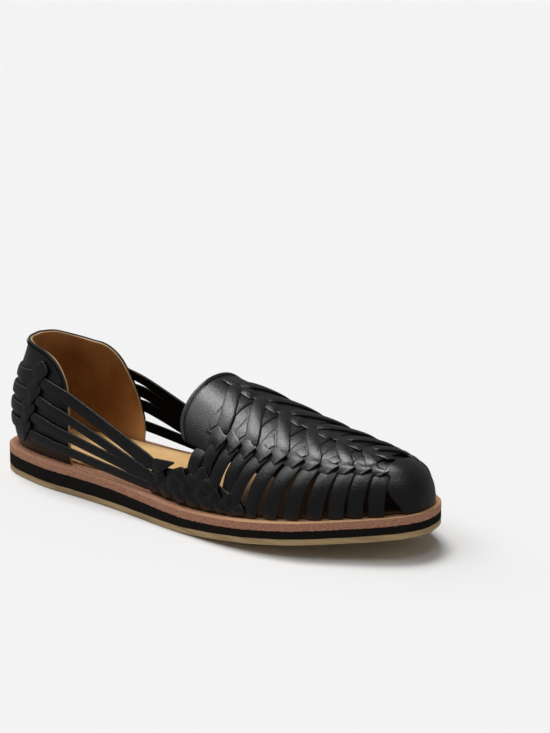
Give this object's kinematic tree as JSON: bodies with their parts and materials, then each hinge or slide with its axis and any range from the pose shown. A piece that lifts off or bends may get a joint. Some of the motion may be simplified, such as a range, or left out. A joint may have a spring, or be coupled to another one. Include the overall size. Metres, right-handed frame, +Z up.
{
  "type": "huarache sandal",
  "caption": "Woven leather huarache sandal with closed toe, open sides, strapped heel counter and layered low sole, right foot",
  "frame": {"origin": "under the middle of the sandal's box, on the plane that it stands on", "axes": "+X from heel to toe, +Y to the inner side of the right foot, +Z up"},
  "size_m": [0.2998, 0.106, 0.0823],
  "materials": {
    "gum_rubber": "matt crepe rubber",
    "black_foam": "matt fine-grained foam rubber",
    "sole_leather": "raw cut edge, smooth tan top",
    "tan_leather": "smooth vegetable-tanned leather",
    "black_leather": "smooth semi-gloss full-grain leather",
    "smooth_leather": "smooth semi-gloss full-grain leather with a turned edge"
  },
  "bodies": {
    "root": {"outsole": "gum_rubber", "midsole": "black_foam", "welt": "sole_leather", "insole": "tan_leather", "upper": "black_leather", "tongue": "smooth_leather"}
  },
  "joints": []
}
